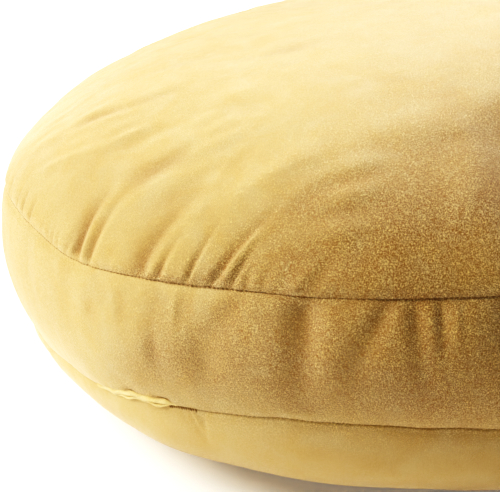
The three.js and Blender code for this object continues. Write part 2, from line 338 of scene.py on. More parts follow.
def plain_crown(azimuth, angle):
    """Radius and height of the top panel; the angle runs from 0 at the seam to a right angle at the top."""
    seam = skin_line(UPPER, azimuth)
    out = np.maximum(np.cos(angle), 0.0) ** (2.0 / CROWN_REACH_POWER)
    rise = np.sin(angle) ** (2.0 / CROWN_RISE_POWER)
    shoulder = 4.0 * rise * (1.0 - rise)
    radius = (UPPER_SEAM_RADIUS + swell(azimuth, 2)) * out + CROWN_FULLNESS * shoulder
    height = seam + (TOP_HEIGHT - seam) * rise + swell(azimuth, 3) * shoulder
    return radius, height


def plain_band(azimuth, up):
    """Radius and height of the side band; up is 0 at the lower seam and 1 at the upper seam."""
    lower = skin_line(LOWER, azimuth)
    upper = skin_line(UPPER, azimuth)
    hem = skin_line(HEM, azimuth)
    height = lower + (upper - lower) * up
    radius = hem + (UPPER_SEAM_RADIUS - hem) * up + BAND_BULGE * 4.0 * up * (1.0 - up)
    return radius + swell(azimuth, 2), height


def plain_underside(azimuth, up):
    """Radius and height of the bottom panel's bulge; up is 0 at the floor and 1 at the lower seam."""
    angle = up * math.pi / 2.0
    out = np.sin(angle) ** (2.0 / UNDERSIDE_POWER)
    rise = 1.0 - np.maximum(np.cos(angle), 0.0) ** (2.0 / UNDERSIDE_POWER)
    rest = skin_line(REST, azimuth)
    reach = skin_line(HEM, azimuth) + swell(azimuth, 2) - rest
    return rest + reach * out, skin_line(LOWER, azimuth) * rise


def distances(radius, height):
    """Length along a profile from its first point."""
    steps = np.hypot(np.diff(radius), np.diff(height))
    return np.append(0.0, np.cumsum(steps))


def spaced(last, even_until):
    """Distances from a seam: close together beside it, even over the puckers, then wider and wider."""
    marks = list(NEAR_SEAM)
    step = ROW_STEP
    while marks[-1] + 1.4 * step < last:
        marks.append(marks[-1] + step)
        if marks[-1] > even_until:
            step *= ROW_GROWTH
    return marks


class Row:
    """One ring of the skin: its panel, where it lies on that panel, and its distances from the seams."""

    def __init__(self, panel, place, from_upper, from_lower, thin=1):
        self.panel = panel
        self.place = place
        self.from_upper = from_upper
        self.from_lower = from_lower
        self.thin = thin

    def on_seam(self):
        return 0.0 in (self.from_upper, self.from_lower)

    def held(self):
        """True where the simulation pins the cloth: on both seams and on the floor."""
        return self.panel == "floor" or self.on_seam()


def thinning(distance, limits):
    """How many columns become one at a distance from the seam, so that no face gets needle-thin."""
    return 2 ** sum(distance > limit for limit in limits)


def crown_rows():
    angles = np.linspace(0.0, math.pi / 2.0, 4000)
    reach = distances(*plain_crown(240.0, angles))
    rows = []
    for mark in spaced(reach[-1], CROWN_EVEN):
        angle = float(np.interp(mark, reach, angles))
        rows.append(Row("crown", angle, mark, FAR, thinning(mark, CROWN_THINNING)))
    return rows


def underside_rows():
    ups = np.linspace(1.0, 0.0, 3000)
    reach = distances(*plain_underside(250.0, ups))
    rows = []
    for mark in spaced(reach[-1], UNDERSIDE_EVEN):
        up = float(np.interp(mark, reach, ups))
        rows.append(Row("underside", up, FAR, mark, thinning(mark, UNDERSIDE_THINNING)))
    rows.append(Row("underside", 0.0, FAR, reach[-1], 2))
    rows += [Row("floor", share, FAR, FAR, thin) for share, thin in FLOOR_ROWS]
    return rows[::-1]


def band_rows():
    """Rows of the band as a distance from the lower or the upper seam, or as a share between those."""
    edge = NEAR_SEAM[-1]
    rows = [Row("band", ("lower", d), FAR, d) for d in (0.0,) + NEAR_SEAM]
    for i in range(1, BAND_ROWS):
        share = i / BAND_ROWS
        from_upper = edge + BAND_MIDDLE * (1.0 - share)
        rows.append(Row("band", ("middle", share), from_upper, edge + BAND_MIDDLE * share))
    rows += [Row("band", ("upper", d), d, FAR) for d in NEAR_SEAM[::-1] + (0.0,)]
    return rows


def band_share(azimuth, place):
    """How far up the band a row lies, from 0 to 1, at each azimuth."""
    kind, value = place
    height = skin_line(UPPER, azimuth) - skin_line(LOWER, azimuth)
    edge = NEAR_SEAM[-1] / height
    if kind == "lower":
        return value / height
    if kind == "upper":
        return 1.0 - value / height
    return edge + (1.0 - 2.0 * edge) * value


def plain_row(row, azimuth):
    if row.panel == "crown":
        radius, height = plain_crown(azimuth, row.place)
        return radius - seam_draw(UPPER_DRAW, row.from_upper), height
    if row.panel == "band":
        up = band_share(azimuth, row.place)
        radius, height = plain_band(azimuth, up)
        size = skin_line(UPPER, azimuth) - skin_line(LOWER, azimuth)
        draw = seam_draw(LOWER_DRAW, up * size) + seam_draw(UPPER_DRAW, (1.0 - up) * size)
        return radius - draw, height + seam_waver(azimuth, up * size)
    if row.panel == "underside":
        radius, height = plain_underside(azimuth, row.place)
        return radius - seam_draw(LOWER_DRAW, row.from_lower), height + seam_waver(azimuth, row.from_lower)
    return skin_line(REST, azimuth) * row.place, np.zeros_like(azimuth)


def column_azimuths():
    runs = [np.linspace(a, b, n, endpoint=False) for a, b, n in COLUMN_RUNS]
    return np.concatenate(runs)


def pucker_section(across):
    """A valley that falls gently from the left and rises steeply on its right to a rounded ridge."""
    gentle, steep = [
        np.exp(-sharp * (np.abs(across) / half) ** power) for sharp, half, power in PUCKER_SIDES
    ]
    height, middle, half = PUCKER_RIDGE
    ridge = height * np.exp(-(((across - middle) / half) ** 2))
    return np.where(across < 0.0, gentle, steep) - ridge


def dent_section(across):
    """A soft hollow, a little steeper on its right."""
    return np.exp(-((np.abs(across) / np.where(across < 0.0, *DENT_SIDES)) ** 2))


def pucker_depth(puckers, azimuth, reach, radius, start, reach_scale=1.0, section=pucker_section):
    """Depth of a set of puckers on rows that lie at the given distances from their seam."""
    depth = np.zeros(np.broadcast(azimuth, reach).shape)
    for at, length, lean, width, deep in puckers:
        t = reach / (length * reach_scale)
        offset = turn(at + lean * t, azimuth)
        across = np.radians(offset) * radius / (width * (0.75 + 0.6 * t))
        fade = (start + (1.0 - start) * smooth(reach / PUCKER_RISE)) * (1.0 - smooth(t))
        depth += deep * section(across) * fade
    return depth


def fold_height(azimuth, reach, radius):
    height = np.zeros(np.broadcast(azimuth, reach).shape)
    for from_azimuth, from_reach, to_azimuth, to_reach, width, lift in CROWN_FOLDS:
        along_x = np.radians(turn(from_azimuth, to_azimuth)) * radius
        along_y = to_reach - from_reach
        length = np.hypot(along_x, along_y)
        x = np.radians(turn(from_azimuth, azimuth)) * radius
        y = reach - from_reach
        t = np.clip((x * along_x + y * along_y) / length**2, 0.0, 1.0)
        across = (x * along_y - y * along_x) / (length * width)
        height += lift * np.exp(-across * across) * np.sin(math.pi * t)
    return height


def gather_list(seed, column):
    """Small gathers all round a seam, in the form of the pucker tables."""
    dice = np.random.default_rng(seed)
    gathers = []
    at = 0.0
    while at < 359.0:
        at += math.degrees(dice.uniform(*GATHER_GAP) / UPPER_SEAM_RADIUS)
        strength = float(closed_line(GATHER_STRENGTH, column, at))
        length = dice.uniform(*GATHER_REACH) * (0.6 + 0.4 * strength)
        width = dice.uniform(*GATHER_WIDTH)
        depth = dice.uniform(*GATHER_DEPTH) * strength
        gathers.append((at, length, dice.uniform(-GATHER_LEAN, GATHER_LEAN), width, depth))
    return gathers


def gather_depth(gathers, azimuth, reach, radius):
    """The same sum as for puckers, worked out only for the columns that each gather touches."""
    depth = np.zeros(np.broadcast(azimuth, reach).shape)
    for gather in gathers:
        near = np.abs(turn(gather[0], azimuth[0])) < GATHER_WINDOW
        part = pucker_depth([gather], azimuth[:, near], reach, radius[:, near], GATHER_START)
        depth[:, near] += part
    return depth


def pit_depth(azimuth, height, radius):
    """Depth of the small pits at a height above the lower seam."""
    depth = np.zeros(np.broadcast(azimuth, height).shape)
    for at, up, long, tall, deep in BAND_PITS:
        along = np.radians(turn(at, azimuth)) * radius / long
        depth += deep * np.exp(-along * along - ((height - up) / tall) ** 2)
    return depth


def lump_height(points):
    """Soft unevenness: a sum of waves that run in all directions through the pillow."""
    dice = np.random.default_rng(LUMP_SEED)
    total = np.zeros(points.shape[:-1])
    for _ in range(LUMP_COUNT):
        length = math.exp(dice.uniform(math.log(LUMP_LENGTH[0]), math.log(LUMP_LENGTH[1])))
        way = dice.normal(size=3)
        way *= 2.0 * math.pi / (length * np.linalg.norm(way))
        total += (length / 100.0) ** 1.2 * np.sin(points @ way + dice.uniform(0.0, 2.0 * math.pi))
    return LUMP_HEIGHT * total / math.sqrt(LUMP_COUNT / 8.0)


def groove_depth(distance, groove, share):
    """The stitched line: a narrow deep groove between two lips where the cloth rolls over."""
    deep, wide = groove
    lift, place, breadth = SEAM_LIP
    cut = deep * np.exp(-((distance / wide) ** 2))
    return share * (cut - lift * np.exp(-(((distance - place) / breadth) ** 2)))


def seam_waver(azimuth, distance):
    """How far the lower seam and the cloth beside it lie above or below its smooth line."""
    turns = np.radians(azimuth)
    wave = sum(share * np.sin(count * turns + start) for count, start, share in SEAM_WAVES)
    return SEAM_WAVER * wave * np.exp(-((distance / WAVER_REACH) ** 2))


def waves(dice, points, count, lengths, direction, spread_angle):
    """A sum of flat waves over the pillow, about one high, that run within some angle of a direction."""
    total = np.zeros(points.shape[:2])
    for _ in range(count):
        way = math.radians(direction + dice.uniform(-spread_angle, spread_angle))
        rise = dice.uniform(-0.25, 0.25)
        along = points[..., 0] * math.cos(way) + points[..., 1] * math.sin(way) + points[..., 2] * rise
        total += np.sin(2.0 * math.pi * (along / dice.uniform(*lengths) + dice.uniform(0.0, 1.0)))
    return total / math.sqrt(0.5 * count)


def wrinkle_height(points):
    """Fine wrinkles that come and go in patches."""
    total = np.zeros(points.shape[:2])
    for seed, count, lengths, direction, spread_angle, height in WRINKLES:
        dice = np.random.default_rng(seed)
        patches = waves(dice, points, WRINKLE_PATCH_WAVES, WRINKLE_PATCH, 0.0, 180.0)
        shape = waves(dice, points, count, lengths, direction, spread_angle)
        total += height * shape * smooth((patches + 0.5) / 1.6)
    return total


def skin_relief(rows, azimuth, plain, radius):
    """How far each point of the plain skin is pushed out along its normal, in mm."""
    relief = np.zeros(radius.shape)
    gathers = [gather_list(GATHER_SEED + i, i) for i in (1, 2, 3, 4)]
    turned = azimuth[None, :]
    for panel in ("crown", "band", "underside"):
        pick = [i for i, row in enumerate(rows) if row.panel == panel]
        upper = np.array([rows[i].from_upper for i in pick])[:, None]
        lower = np.array([rows[i].from_lower for i in pick])[:, None]
        around = radius[pick]
        if panel == "crown":
            start, length = WRINKLE_FADE
            relief[pick] += wrinkle_height(plain[pick]) * smooth((upper - start) / length)
            relief[pick] += fold_height(turned, upper, around)
            relief[pick] -= pucker_depth(CROWN_PUCKERS, turned, upper, around, CROWN_START)
            relief[pick] -= gather_depth(gathers[0], turned, upper, around)
        if panel == "band":
            dents = pucker_depth(
                BAND_DENTS, turned, upper, around, BAND_START, BAND_WIDTH, dent_section
            )
            relief[pick] -= dents
            relief[pick] -= gather_depth(gathers[1], turned, upper, around)
            relief[pick] -= gather_depth(gathers[2], turned, lower, around)
            relief[pick] -= pit_depth(turned, lower, around)
        if panel == "underside":
            relief[pick] -= pucker_depth(UNDERSIDE_PUCKERS, turned, lower, around, UNDERSIDE_START)
            relief[pick] -= gather_depth(gathers[3], turned, lower, around)
        relief[pick] -= groove_depth(upper, UPPER_GROOVE, closed_line(GROOVE_SHARE, 1, turned))
        relief[pick] -= groove_depth(lower, LOWER_GROOVE, closed_line(GROOVE_SHARE, 2, turned))
    return relief


def seam_shade(rows, azimuth):
    """Painted shade: how much darker the stitched lines are drawn than the cloth beside them, for the
    shadow in their grooves.
    """
    dark, wide = SEAM_SHADE
    shade = np.zeros((len(rows), len(azimuth)))
    for i, row in enumerate(rows):
        for column, distance in ((1, row.from_upper), (2, row.from_lower)):
            share = closed_line(GROOVE_SHARE, column, azimuth)
            shade[i] += dark * share * math.exp(-((distance / wide) ** 2))
    return shade


# The filling, blown up by Blender's cloth simulation: columns, spacing of the rows in mm, frames,
# pressure inside, and how much the cloth shrinks, which is below 0 where it grows
SIM_COLUMNS = 384
SIM_SPACING = 5.6
SIM_FRAMES = 20
SIM_PRESSURE = 4.0
SIM_SHRINK = -0.03

# Two rows less than this apart in mm lie on the same seam, and a row is left out when it lies closer
# to a seam than this share of the spacing
SIM_DOUBLED = 0.05
SIM_CLOSEST = 0.4

# Wider swellings than this, in rows and columns of the simulation, are left to the solid's own outline
SIM_BROADEST = 5.0

# Greatest height of a simulated wrinkle in mm
SIM_CAP = 2.0

# How far the values are blended: from the skin's columns in degrees, and back in steps of the simulation
SIM_GATHER = 0.7
SIM_BLEND = 0.62

# Share of the simulated wrinkles that is kept round the pillow, less where the photograph's own puckers are
SIM_SHARE = ((0, 0.6), (150, 0.6), (200, 0.2), (240, 0.14), (280, 0.14), (320, 0.6))


def near_weights(wanted, given, width):
    """Weights that turn values at the given places into smooth values at the wanted places."""
    weights = np.exp(-(((wanted[:, None] - given[None, :]) / width) ** 2))
    return weights / weights.sum(axis=1, keepdims=True)


def near_turns(wanted, given, width):
    """The same for azimuths, which close up into a circle."""
    gaps = 0.5 * (np.abs(turn(given, np.roll(given, -1))) + np.abs(turn(given, np.roll(given, 1))))
    weights = gaps * np.exp(-((turn(given[None, :], wanted[:, None]) / width) ** 2))
    return weights / weights.sum(axis=1, keepdims=True)


def coarse_rows(rows, along):
    """Numbers of the rows that the simulation uses: the seams, and evenly spaced rows between them."""
    picked = [0]
    for i in range(1, len(rows)):
        on_seam = rows[i].on_seam()
        gap = along[i] - along[picked[-1]]
        if (on_seam and gap >= SIM_DOUBLED) or gap > SIM_SPACING:
            if on_seam and gap < SIM_CLOSEST * SIM_SPACING:
                picked.pop()
            picked.append(i)
    return picked


def hold(piece, rows):
    """Pins the seams and everything that lies on the floor."""
    fixed = [float(row.held()) for row in rows]
    grid = np.repeat(np.array(fixed)[:, None], SIM_COLUMNS, axis=1)
    values = skin_values(rows, grid)
    group = piece.vertex_groups.new(name="held")
    group.add([int(i) for i in np.nonzero(values > 0.5)[0]], 1.0, "REPLACE")


def run_cloth(piece):
    """Runs the cloth simulation and returns where its last frame puts the vertices, in mm."""
    modifier = piece.modifiers.new("cloth", "CLOTH")
    cloth = modifier.settings
    cloth.quality = 6
    cloth.mass = 0.3
    cloth.tension_stiffness = 15.0
    cloth.compression_stiffness = 15.0
    cloth.shear_stiffness = 5.0
    cloth.bending_stiffness = 0.4
    cloth.use_pressure = True
    cloth.uniform_pressure_force = SIM_PRESSURE
    cloth.effector_weights.gravity = 0.0
    cloth.shrink_min = SIM_SHRINK
    cloth.vertex_group_mass = "held"
    modifier.collision_settings.use_collision = False
    modifier.point_cache.frame_end = SIM_FRAMES
    scene = bpy.context.scene
    for frame_number in range(1, SIM_FRAMES + 1):
        scene.frame_set(frame_number)
    settled = piece.evaluated_get(bpy.context.evaluated_depsgraph_get())
    places = np.empty(len(settled.data.vertices) * 3)
    settled.data.vertices.foreach_get("co", places)
    scene.frame_set(1)
    return places.reshape(-1, 3) / MM


def blown_relief(rows, azimuth, points):
    """The wrinkles that the filling's pressure makes between the pinned seams, on the skin's own grid."""
    steps = np.linalg.norm(np.diff(points, axis=0), axis=2).mean(axis=1)
    along = np.append(0.0, np.cumsum(steps))
    picked = coarse_rows(rows, along)
    turns = np.arange(SIM_COLUMNS) * 360.0 / SIM_COLUMNS
    gather = near_turns(turns, azimuth, SIM_GATHER)
    coarse = np.einsum("cf,rfk->rck", gather, points[picked])
    used = [rows[i] for i in picked]
    piece = bpy.data.objects.new("blown_skin", skin_mesh("blown_skin", used, coarse))
    bpy.context.scene.collection.objects.link(piece)
    hold(piece, used)
    moved = run_cloth(piece) - skin_places(used, coarse)
    mesh = piece.data
    bpy.data.objects.remove(piece)
    bpy.data.meshes.remove(mesh)
    normals = outward(coarse)
    amount = np.zeros((len(used), SIM_COLUMNS))
    first = 0
    for i, row in enumerate(used):
        count = SIM_COLUMNS // row.thin
        out = (moved[first : first + count] * normals[i, :: row.thin]).sum(axis=1)
        amount[i] = np.interp(turns, turns[:: row.thin], out, period=360.0)
        first += count
    rank = np.arange(len(used), dtype=float)
    broad = near_weights(rank, rank, SIM_BROADEST) @ amount
    broad = broad @ near_turns(turns, turns, SIM_BROADEST * 360.0 / SIM_COLUMNS).T
    amount = SIM_CAP * np.tanh((amount - broad) / SIM_CAP)
    amount[np.array([row.held() for row in used])] = 0.0
    print("blown skin", len(moved), "points, wrinkles up to", round(float(np.abs(amount).max()), 2), "mm")
    fine = near_weights(along, along[picked], SIM_BLEND * SIM_SPACING) @ amount
    share = closed_line(SIM_SHARE, 1, azimuth)
    return share * (fine @ near_turns(azimuth, turns, SIM_BLEND * 360.0 / SIM_COLUMNS).T)


def skin_places(rows, points):
    """Where the vertices of the skin's mesh start, in mm, with the two middles last."""
    return np.stack([skin_values(rows, points[..., k]) for k in range(3)], axis=-1)


def outward(points):
    """Unit normals of a closed ring grid, from the differences between its rows and its columns."""
    up = np.gradient(points, axis=0)
    along = np.roll(points, -1, axis=1) - np.roll(points, 1, axis=1)
    normal = np.cross(along, up)
    return normal / np.maximum(np.linalg.norm(normal, axis=-1, keepdims=True), 1e-9)


def skin_grid():
    """Rows and points of the pillow's skin in mm, and the two values that the suede reads: painted shade,
    and how much the hairs stand out, which also paints light and shade.
    """
    rows = underside_rows()
    rows += band_rows()
    rows += crown_rows()
    azimuth = column_azimuths()
    angle = np.radians(azimuth)
    ring = [plain_row(row, azimuth) for row in rows]
    radius = np.stack([r for r, _ in ring])
    height = np.stack([h for _, h in ring])
    plain = np.stack([radius * np.cos(angle), radius * np.sin(angle), height], axis=-1)
    relief = skin_relief(rows, azimuth, plain, radius)
    on_floor = np.array([row.panel == "floor" for row in rows])
    relief[on_floor] = 0.0
    relief *= smooth(height / FLOOR_FADE)
    facing = outward(plain)
    # Painted shade: darker in the creases, along the stitched lines and on the side that faces away from
    # the lights
    crease = np.clip(-relief, 0.0, CREASE_DEEPEST) + seam_shade(rows, azimuth)
    start, width = FRONT_EDGE
    crease += FRONT_SHADE * smooth((facing @ np.array(SHADED_SIDE_FACING) - start) / width)
    relief += lump_height(plain) * smooth(height / FLOOR_FADE) * ~on_floor[:, None]
    relief += blown_relief(rows, azimuth, plain + facing * relief[..., None])
    points = plain + facing * relief[..., None]
    points[..., 2] = np.maximum(points[..., 2], 0.0)
    return rows, points + np.array(OUTLINE_SHIFT), crease, grain_and_shade_values(facing, height)


def ring_faces(lower, upper):
    """Faces between two rings of vertex numbers, where the upper one may have half as many."""
    faces = []
    if len(lower) < len(upper):
        return [face[::-1] for face in ring_faces(upper, lower)]
    count = len(upper)
    step = len(lower) // count
    for i in range(count):
        a, b = upper[i], upper[(i + 1) % count]
        c, d = lower[i * step], lower[((i + 1) * step) % len(lower)]
        if step == 1:
            faces.append((c, d, b, a))
        else:
            middle = lower[i * step + 1]
            faces += [(c, middle, a), (middle, b, a), (middle, d, b)]
    return faces


def plain_mesh(name, vertices, faces, smooth_faces=True):
    mesh = bpy.data.meshes.new(name)
    mesh.from_pydata([tuple(v) for v in vertices], [], faces)
    mesh.polygons.foreach_set("use_smooth", [smooth_faces] * len(mesh.polygons))
    mesh.update()
    return mesh


def new_piece(name, mesh, material):
    piece = bpy.data.objects.new(name, mesh)
    bpy.context.scene.collection.objects.link(piece)
    mesh.materials.clear()
    mesh.materials.append(material)
    return piece


def store(mesh, name, values):
    attribute = mesh.attributes.new(name, "FLOAT", "POINT")
    attribute.data.foreach_set("value", np.asarray(values, np.float32))


def grain_and_shade_values(facing, height):
    """How much the nap's hairs stand out, which also paints light and shade: where the cloth faces the
    lights, on the back left, it is drawn paler and smoother, and the hairs are also least near the floor.
    """
    start, width = LIT_SIDE_EDGE
    flat = smooth((facing @ np.array(LIT_SIDE_FACING) - start) / width)
    low, rise = GRAIN_HEIGHT
    raised = GRAIN_LEAST + (1.0 - GRAIN_LEAST) * smooth((height - low) / rise)
    return (1.0 - LIT_SIDE_LOSS * flat) * raised


def skin_mesh(name, rows, points):
    """The pillow's whole skin as one closed mesh, with fewer columns towards both middles."""
    vertices = []
    rings = []
    for row, ring in zip(rows, points):
        picked = ring[:: row.thin]
        rings.append(list(range(len(vertices), len(vertices) + len(picked))))
        vertices += list(picked)
    faces = []
    for lower, upper in zip(rings[:-1], rings[1:]):
        faces += ring_faces(lower, upper)
    for ring, height, way in ((rings[0], 0.0, -1), (rings[-1], float(points[-1, :, 2].mean()), 1)):
        middle = len(vertices)
        vertices.append(np.array((OUTLINE_SHIFT[0], OUTLINE_SHIFT[1], height)))
        for i, a in enumerate(ring):
            b = ring[(i + 1) % len(ring)]
            faces.append((a, b, middle) if way > 0 else (b, a, middle))
    return plain_mesh(name, np.array(vertices) * MM, faces)


def skin_values(rows, values):
    """Values of the skin's grid in the order of its mesh's vertices, with the two middles last."""
    picked = [ring[:: row.thin] for row, ring in zip(rows, values)]
    return np.concatenate(picked + [[values[0].mean(), values[-1].mean()]])


def build_skin(rows, points, crease, grain, material):
    mesh = skin_mesh("cushion_skin", rows, points)
    store(mesh, "crease", skin_values(rows, crease))
    store(mesh, "grain", skin_values(rows, grain))
    return new_piece("cushion_skin", mesh, material)


# Materials

# Painted light where the cloth faces the lights, on the back left: there the hairs are drawn lower, so the
# cloth looks paler and smoother. Direction that the cloth faces, how squarely it has to face that way
# before the hairs lose height and over how much more they lose it, and the share that they lose
LIT_SIDE_FACING = (-1.2, 0.5, 0.35)
LIT_SIDE_EDGE = (0.02, 0.34)
LIT_SIDE_LOSS = 0.76

# The hairs are lowest on the underside: their least share, where it ends, and the height of the change
GRAIN_LEAST = 0.03
GRAIN_HEIGHT = (46.0, 60.0)

# Painted shade on the side that faces away from the lights, on the front right: direction, edge as above,
# and how much
SHADED_SIDE_FACING = (0.7, -0.72, 0.0)
FRONT_EDGE = (0.32, 0.52)
FRONT_SHADE = 1.0

# Colours of the ground and the hairs, each between a warm and a pale one
SUEDE_WARM = (0.26, 0.11, 0.014)
SUEDE_PALE = (0.295, 0.15, 0.03)
HAIR_WARM = (1.0, 0.715, 0.235)
HAIR_PALE = (1.0, 0.79, 0.35)
FOLD_WARM = (0.43, 0.28, 0.105)
FOLD_PALE = (0.50, 0.36, 0.18)
# The thread is drawn dark brown: partly its own colour, partly painted shade of the stitch holes along the
# seams
THREAD_DEEP = (0.16, 0.07, 0.012)
THREAD_LIGHT = (0.30, 0.16, 0.035)
FLOOR_DIM = (0.90, 0.90, 0.895)
FLOOR_LIGHT = (0.93, 0.93, 0.925)

# The hairs: how fine, how broad against their gaps, how curled, how much they stand out, and the least
# share of them where the nap is not raised and where no grain shows in the relief
HAIR_SCALE = 1350.0
HAIR_BREADTH = 0.052
HAIR_DETAIL = 1.5
HAIR_CURL = 0.35
HAIR_CONTRAST = 2.1
NAP_LEAST = 0.65
RELIEF_LEAST = 0.2

# Where plain cloth lies between ground and hair colour, what strokes add and what painted shade takes off
# in creases, on the stitched lines and on the side away from the lights
SUEDE_TONE = 0.38
FOLD_TONE = 0.75
STROKE_TONE = 0.05
PAINTED_SHADE_TONE = 0.14

# Scale and distortion of the noise behind each kind of patch, and its values that become 0 and 1
PATCH_NOISE = (17.0, 0.6, 0.3, 0.7)
STROKE_NOISE = (46.0, 0.8, 0.3, 0.7)
RAISED_NOISE = (27.0, 0.4, 0.3, 0.6)
THREAD_NOISE = (1500.0, 0.0, 0.3, 0.7)
FLOOR_NOISE = (3.0, 0.0, 0.3, 0.7)

# Strength and height of the relief, roughness and sheen
NAP_BUMP = (0.8, 0.0006)
FIBRE_BUMP = (0.4, 0.0002)
SUEDE_ROUGHNESS = 0.78
THREAD_ROUGHNESS = 0.8
SUEDE_SHEEN = 0.75
THREAD_SHEEN = 0.1
SHEEN_TINT = (1.0, 0.84, 0.65)

# The floor glows a little, in place of the white surroundings of the photograph
FLOOR_ROUGHNESS = 0.9
FLOOR_GLOW = 0.1
FLOOR_HALF = 9.0
FLOOR_DROP = 0.0004


class Wire:
    """A value in a node tree; sums and products of wires and numbers add the Math nodes for them."""

    def __init__(self, tree, socket):
        self.tree = tree
        self.socket = socket

    def __add__(self, other):
        return self.tree.math("ADD", self, other)

    def __sub__(self, other):
        return self.tree.math("SUBTRACT", self, other)

    def __rsub__(self, other):
        return self.tree.math("SUBTRACT", other, self)

    def __mul__(self, other):
        return self.tree.math("MULTIPLY", self, other)

    __radd__ = __add__
    __rmul__ = __mul__


class Tree:
    """Adds nodes to a material or a geometry tree."""

    def __init__(self, nodes, links):
        self.nodes = nodes
        self.links = links

    def node(self, kind, settings, sockets):
        """One node of a kind: its settings first, then a value or a link for each named socket."""
        made = self.nodes.new(kind)
        for name, value in settings.items():
            if name == "stops":
                set_stops(made.color_ramp, value)
            else:
                setattr(made, name, value)
        for name, value in sockets.items():
            socket = made.inputs[name]
            if isinstance(value, Wire):
                self.links.new(value.socket, socket)
            else:
                socket.default_value = value
        return made

    def wire(self, kind, settings, sockets, output=0):
        return Wire(self, self.node(kind, settings, sockets).outputs[output])

    def math(self, operation, a, b):
        return self.wire("ShaderNodeMath", {"operation": operation}, {0: a, 1: b})


def set_stops(ramp, stops):
    while len(ramp.elements) < len(stops):
        ramp.elements.new(0.5)
    for element, (position, color) in zip(ramp.elements, stops):
        element.position = position
        element.color = (*color, 1.0)


def new_material(name):
    material = bpy.data.materials.new(name)
    material.use_nodes = True
    material.node_tree.nodes.clear()
    return material, Tree(material.node_tree.nodes, material.node_tree.links)


def noise(tree, place, scale, detail, roughness, distortion):
    settings = {"noise_dimensions": "3D"}
    sockets = {
        "Vector": place,
        "Scale": scale,
        "Detail": detail,
        "Roughness": roughness,
        "Distortion": distortion,
    }
    return tree.wire("ShaderNodeTexNoise", settings, sockets)


def spread(tree, value, low, high):
    """Stretches a value so that low becomes 0 and high becomes 1."""
    sockets = {"Value": value, "From Min": low, "From Max": high}
    return tree.wire("ShaderNodeMapRange", {"clamp": True}, sockets)


def mix_color(tree, factor, first, second):
    made = tree.node("ShaderNodeMix", {"data_type": "RGBA"}, {"Factor": factor})
    for index, value in ((6, first), (7, second)):
        if isinstance(value, Wire):
            tree.links.new(value.socket, made.inputs[index])
        else:
            made.inputs[index].default_value = (*value, 1.0)
    return Wire(tree, made.outputs[2])


def attribute(tree, name):
    return tree.wire("ShaderNodeAttribute", {"attribute_name": name}, {}, "Fac")


def object_place(tree):
    return tree.wire("ShaderNodeTexCoord", {}, {}, "Object")


def bump(tree, relief, height):
    strength, distance = relief
    sockets = {"Strength": strength, "Distance": distance, "Height": height}
    return tree.wire("ShaderNodeBump", {}, sockets)


def finish(material, tree, sockets):
    shader = tree.node("ShaderNodeBsdfPrincipled", {}, sockets)
    output = tree.node("ShaderNodeOutputMaterial", {}, {})
    tree.links.new(shader.outputs[0], output.inputs["Surface"])
    return material


def finish_cloth(material, tree, color, normal, roughness, sheen):
    sockets = {
        "Base Color": color,
        "Roughness": roughness,
        "Normal": normal,
        "Specular IOR Level": 0.35,
        "Sheen Weight": sheen,
        "Sheen Roughness": 0.3,
        "Sheen Tint": (*SHEEN_TINT, 1.0),
    }
    return finish(material, tree, sockets)


def strands(tree, place):
    """Short curled hairs: the thin bright lines along which a noise passes its middle value."""
    value = noise(tree, place, HAIR_SCALE, HAIR_DETAIL, 0.5, HAIR_CURL)
    off = tree.wire("ShaderNodeMath", {"operation": "ABSOLUTE"}, {0: value - 0.5})
    return 1.0 - spread(tree, off, 0.0, HAIR_BREADTH)


def cloud(tree, place, look):
    """Soft patches between 0 and 1."""
    scale, distortion, low, high = look
    return spread(tree, noise(tree, place, scale, 2.0, 0.5, distortion), low, high)


def suede(name, warm, pale, flat_tone):
    """Faux suede: a nap of short curled hairs over a darker ground, brushed into warmer and paler patches.

    One attribute says how much the hairs stand out, and paints light and shade with it: it is low where the
    cloth faces the lights, which is drawn paler and smoother, so the rest looks darker and grainier. The
    other is painted
    shade: how much darker the cloth is drawn in its creases, on the stitched lines and on the side away
    from the lights.
    """
    material, tree = new_material(name)
    place = object_place(tree)
    hairs = strands(tree, place)
    patches = cloud(tree, place, PATCH_NOISE)
    strokes = cloud(tree, place, STROKE_NOISE)
    raised = cloud(tree, place, RAISED_NOISE)
    nap = hairs * (NAP_LEAST + (1.0 - NAP_LEAST) * raised)
    crease = attribute(tree, "crease")
    grain = attribute(tree, "grain")
    # Painted light and shade: where the cloth faces the lights the tone is paler and plainer, elsewhere
    # darker and grainier
    tone = flat_tone + grain * (HAIR_CONTRAST * nap - flat_tone) + STROKE_TONE * strokes
    ground = mix_color(tree, patches, warm, pale)
    hair = mix_color(tree, strokes, HAIR_WARM, HAIR_PALE)
    # Painted shade takes tone off in the creases, on the stitched lines and on the side away from the
    # lights
    color = mix_color(tree, tone - PAINTED_SHADE_TONE * crease, ground, hair)
    normal = bump(tree, NAP_BUMP, nap * (RELIEF_LEAST + (1.0 - RELIEF_LEAST) * grain))
    return finish_cloth(material, tree, color, normal, SUEDE_ROUGHNESS, SUEDE_SHEEN)


def thread_material():
    material, tree = new_material("thread_with_hole_shade")
    fibre = cloud(tree, object_place(tree), THREAD_NOISE)
    color = mix_color(tree, fibre, THREAD_DEEP, THREAD_LIGHT)
    normal = bump(tree, FIBRE_BUMP, fibre)
    return finish_cloth(material, tree, color, normal, THREAD_ROUGHNESS, THREAD_SHEEN)


def floor_material():
    material, tree = new_material("pale_floor")
    cloudy = cloud(tree, object_place(tree), FLOOR_NOISE)
    sockets = {
        "Base Color": mix_color(tree, cloudy, FLOOR_DIM, FLOOR_LIGHT),
        "Roughness": FLOOR_ROUGHNESS,
        "Emission Color": (1.0, 1.0, 1.0, 1.0),
        "Emission Strength": FLOOR_GLOW,
    }
    return finish(material, tree, sockets)


# Camera, floor and lights

